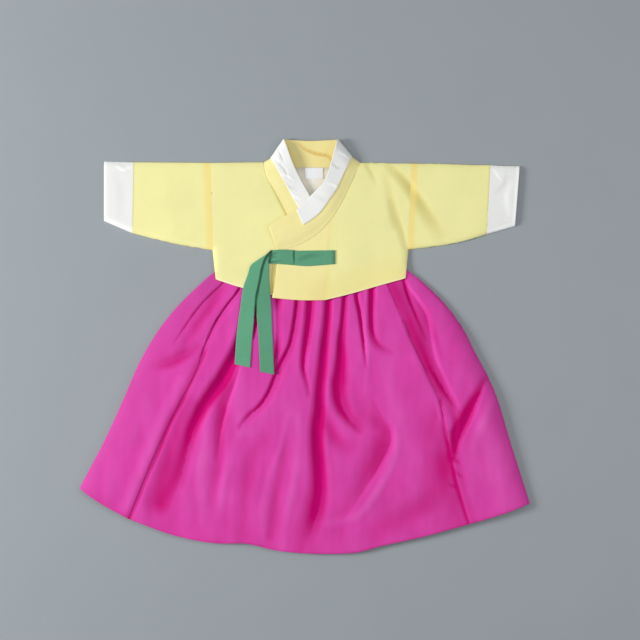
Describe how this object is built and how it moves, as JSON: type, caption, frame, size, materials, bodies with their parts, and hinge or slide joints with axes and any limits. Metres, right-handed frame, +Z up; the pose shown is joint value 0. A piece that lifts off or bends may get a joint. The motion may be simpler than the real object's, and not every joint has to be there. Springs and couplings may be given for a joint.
{
  "type": "child's korean hanbok laid flat: jeogori jacket over a chima skirt",
  "caption": "Child's hanbok laid flat on its back: a short jacket with a crossed collar, white strip and cuffs, and a ribbon tie, over a full skirt with soft pleats.",
  "frame": {"origin": "middle of the garment's outline, on the surface that it lies on", "axes": "+X across the garment to the viewer's right looking down on its front, +Y towards the neck, +Z up from the surface"},
  "size_m": [0.7857, 0.7235, 0.0197],
  "materials": {
    "magenta_satin": "magenta lustrous pleated cloth",
    "white_cloth": "white smooth cloth",
    "white_collar": "white crisp shiny strip",
    "collar_yellow": "pale yellow smooth cloth",
    "green_cloth": "green soft cloth ribbon",
    "jacket_yellow": "pale yellow smooth cloth",
    "label_white": "plain white woven label",
    "lining_beige": "beige lining"
  },
  "bodies": {
    "root": {"chima_back": "magenta_satin", "chima_front_centre": "magenta_satin", "chima_front_left": "magenta_satin", "chima_front_right": "magenta_satin", "chima_waistband": "magenta_satin", "cuff_left_back": "white_cloth", "cuff_left_front": "white_cloth", "cuff_right_back": "white_cloth", "cuff_right_front": "white_cloth", "dongjeong_back": "white_collar", "dongjeong_left": "white_collar", "dongjeong_right": "white_collar", "git_back": "collar_yellow", "git_left": "collar_yellow", "git_right": "collar_yellow", "goreum_band": "green_cloth", "goreum_knot": "green_cloth", "goreum_tail_back": "green_cloth", "goreum_tail_front": "green_cloth", "jeogori_back_left": "jacket_yellow", "jeogori_back_right": "jacket_yellow", "jeogori_front_inner": "jacket_yellow", "jeogori_front_outer": "jacket_yellow", "jeogori_seop_outer": "jacket_yellow", "neck_label": "label_white", "neck_lining": "lining_beige", "sleeve_left_back": "jacket_yellow", "sleeve_left_front": "jacket_yellow", "sleeve_right_back": "jacket_yellow", "sleeve_right_front": "jacket_yellow"}
  },
  "joints": []
}
